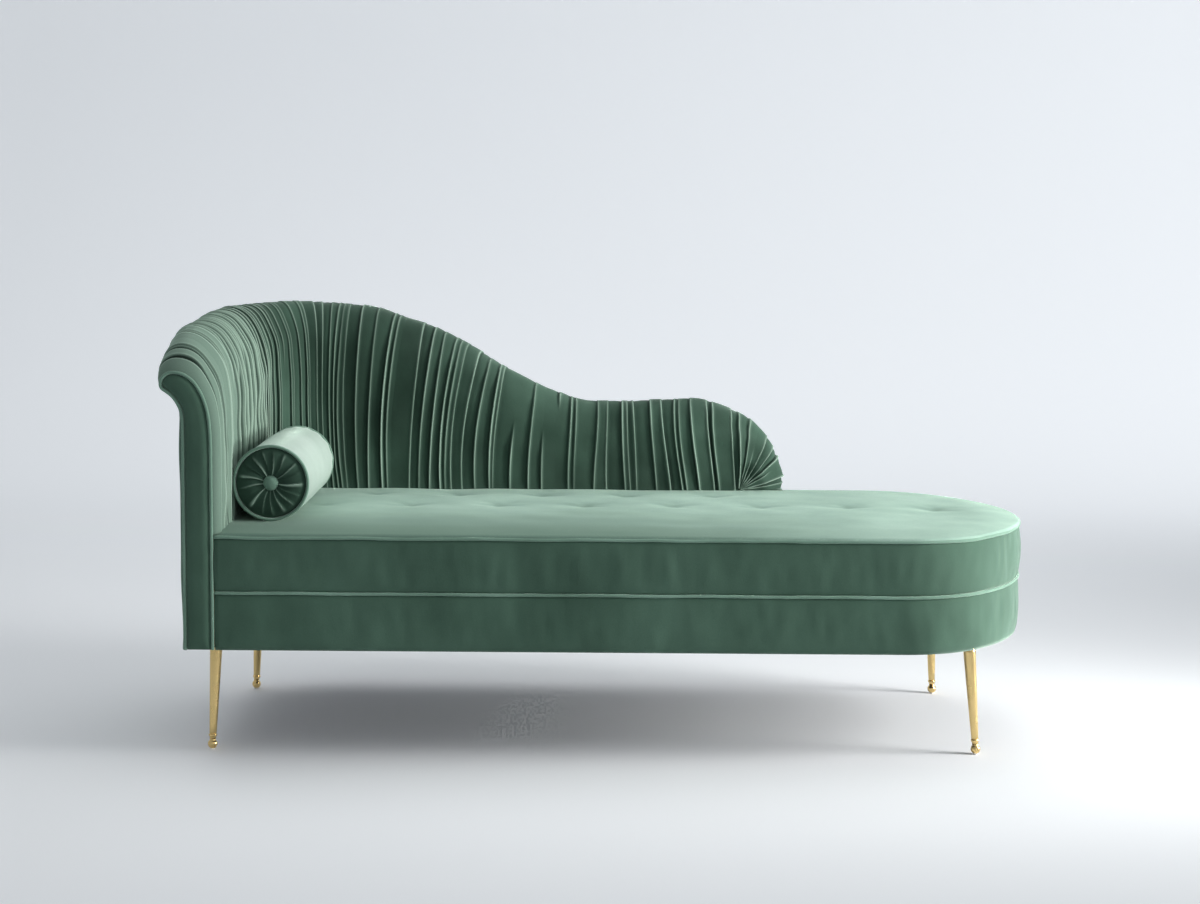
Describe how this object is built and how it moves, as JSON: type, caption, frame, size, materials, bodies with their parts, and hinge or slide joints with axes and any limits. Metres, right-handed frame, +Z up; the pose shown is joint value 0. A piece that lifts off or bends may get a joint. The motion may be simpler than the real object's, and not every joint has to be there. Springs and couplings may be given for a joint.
{
  "type": "chaise longue",
  "caption": "Velvet chaise longue with a scroll arm, a ruched wave back, a D-ended seat, splayed brass legs and a loose round bolster.",
  "frame": {"origin": "on the floor, at the middle of the outline seen from above", "axes": "+X along the seat from the scroll arm to the round end, +Y to the back, +Z up"},
  "size_m": [1.6755, 0.7758, 0.8429],
  "materials": {
    "velvet": "cotton velvet, short pile with a pale sheen",
    "piping": "velvet over cord",
    "brass": "polished, plated",
    "steel": "zinc plated",
    "nylon": "moulded",
    "hardwood": "sawn beech",
    "plywood": "birch plywood",
    "hardboard": "bent hardboard",
    "foam": "upholstery foam and wadding",
    "webbing": "woven elastic webbing",
    "felt": "needled felt",
    "cambric": "black non-woven"
  },
  "bodies": {
    "chaise": {"arm_facing": "velvet", "arm_facing_welt": "piping", "back_liner": "hardboard", "back_padding": "foam", "back_rail": "hardwood", "ball_foot_front_left": "brass", "ball_foot_front_right": "brass", "ball_foot_rear_left": "brass", "ball_foot_rear_right": "brass", "base_band": "velvet", "base_padding": "foam", "corner_block": "hardwood", "cross_rails": "hardwood", "cross_webbing": "webbing", "dust_cover": "cambric", "end_block": "hardwood", "end_board": "plywood", "foot_glides": "nylon", "front_post": "plywood", "front_rail": "hardwood", "left_end_rail": "hardwood", "leg_front_left": "brass", "leg_front_right": "brass", "leg_rear_left": "brass", "leg_rear_right": "brass", "leg_studs": "steel", "long_webbing": "webbing", "lower_lath": "plywood", "lower_welt": "piping", "outside_cover": "velvet", "outside_wadding": "foam", "rail_dowels": "hardwood", "rear_corner_rail": "plywood", "rib_arm_middle": "plywood", "rib_back_1": "plywood", "rib_back_2": "plywood", "rib_back_3": "plywood", "rib_back_4": "plywood", "rib_back_end": "plywood", "rib_corner_left": "plywood", "rib_corner_middle": "plywood", "rib_corner_right": "plywood", "round_end_rail": "plywood", "ruched_cover": "velvet", "seat_boxing": "velvet", "seat_felt": "felt", "seat_foam": "foam", "seat_top_panel": "velvet", "tack_lath": "plywood", "tee_nuts": "steel", "top_welt": "piping", "tuft_ties": "webbing", "upper_lath": "plywood", "wall_sole": "plywood"},
    "bolster": {"bolster_buttons": "velvet", "bolster_cap_front": "velvet", "bolster_cap_rear": "velvet", "bolster_filling": "foam", "bolster_sleeve": "velvet", "bolster_welts": "piping"}
  },
  "joints": [
    {"name": "bolster_lift", "type": "slide", "parent": "chaise", "child": "bolster", "axis": [0, 0, 1], "range_m": [0, 0.35]}
  ]
}
